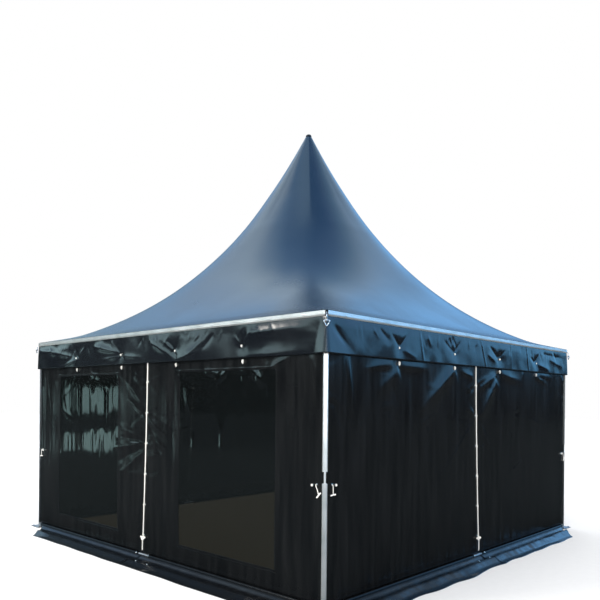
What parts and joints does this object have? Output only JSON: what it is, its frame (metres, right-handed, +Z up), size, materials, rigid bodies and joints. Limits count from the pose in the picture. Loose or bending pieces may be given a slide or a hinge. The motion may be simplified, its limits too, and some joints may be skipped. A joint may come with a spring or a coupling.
{
  "type": "pagoda tent",
  "caption": "Square high-peak event tent: aluminium frame, tensioned roof skin on a cable-held mast, valances, laced wall panels with clear windows, ground flaps",
  "frame": {"origin": "Centre of the square base, on the ground under the foot plates", "axes": "+Z up. The front, with windows, looks along -Y and the plain right side along +X; the back repeats the front and the left side repeats the right"},
  "size_m": [5.6, 5.6, 5.2274],
  "materials": {
    "roof_cloth": "gloss",
    "valance_cloth": "gloss",
    "wall_cloth": "satin",
    "window_film": "clear",
    "anodised_aluminium": "satin",
    "galvanised_steel": "satin",
    "wire_rope": "satin",
    "cord": "matte",
    "cap_plastic": "matte"
  },
  "bodies": {
    "root": {"roof_canopy": "roof_cloth", "valance_front": "valance_cloth", "valance_right": "valance_cloth", "valance_back": "valance_cloth", "valance_left": "valance_cloth", "wall_front_left": "wall_cloth", "wall_front_right": "wall_cloth", "wall_right_left": "wall_cloth", "wall_right_right": "wall_cloth", "wall_back_left": "wall_cloth", "wall_back_right": "wall_cloth", "wall_left_left": "wall_cloth", "wall_left_right": "wall_cloth", "window_front_left": "window_film", "window_front_right": "window_film", "window_back_left": "window_film", "window_back_right": "window_film", "eaves_rail_front": "anodised_aluminium", "eaves_rail_right": "anodised_aluminium", "eaves_rail_back": "anodised_aluminium", "eaves_rail_left": "anodised_aluminium", "leg_front_right": "anodised_aluminium", "leg_back_right": "anodised_aluminium", "leg_back_left": "anodised_aluminium", "leg_front_left": "anodised_aluminium", "mast": "anodised_aluminium", "foot_front_right": "galvanised_steel", "foot_back_right": "galvanised_steel", "foot_back_left": "galvanised_steel", "foot_front_left": "galvanised_steel", "corner_bracket_front_right": "galvanised_steel", "corner_bracket_back_right": "galvanised_steel", "corner_bracket_back_left": "galvanised_steel", "corner_bracket_front_left": "galvanised_steel", "ground_rod_front": "galvanised_steel", "ground_rod_right": "galvanised_steel", "ground_rod_back": "galvanised_steel", "ground_rod_left": "galvanised_steel", "mast_foot": "galvanised_steel", "cross_cable_upper": "wire_rope", "cross_cable_lower": "wire_rope", "lacing_front": "cord", "lacing_right": "cord", "lacing_back": "cord", "lacing_left": "cord", "peak_cap": "cap_plastic"}
  },
  "joints": []
}
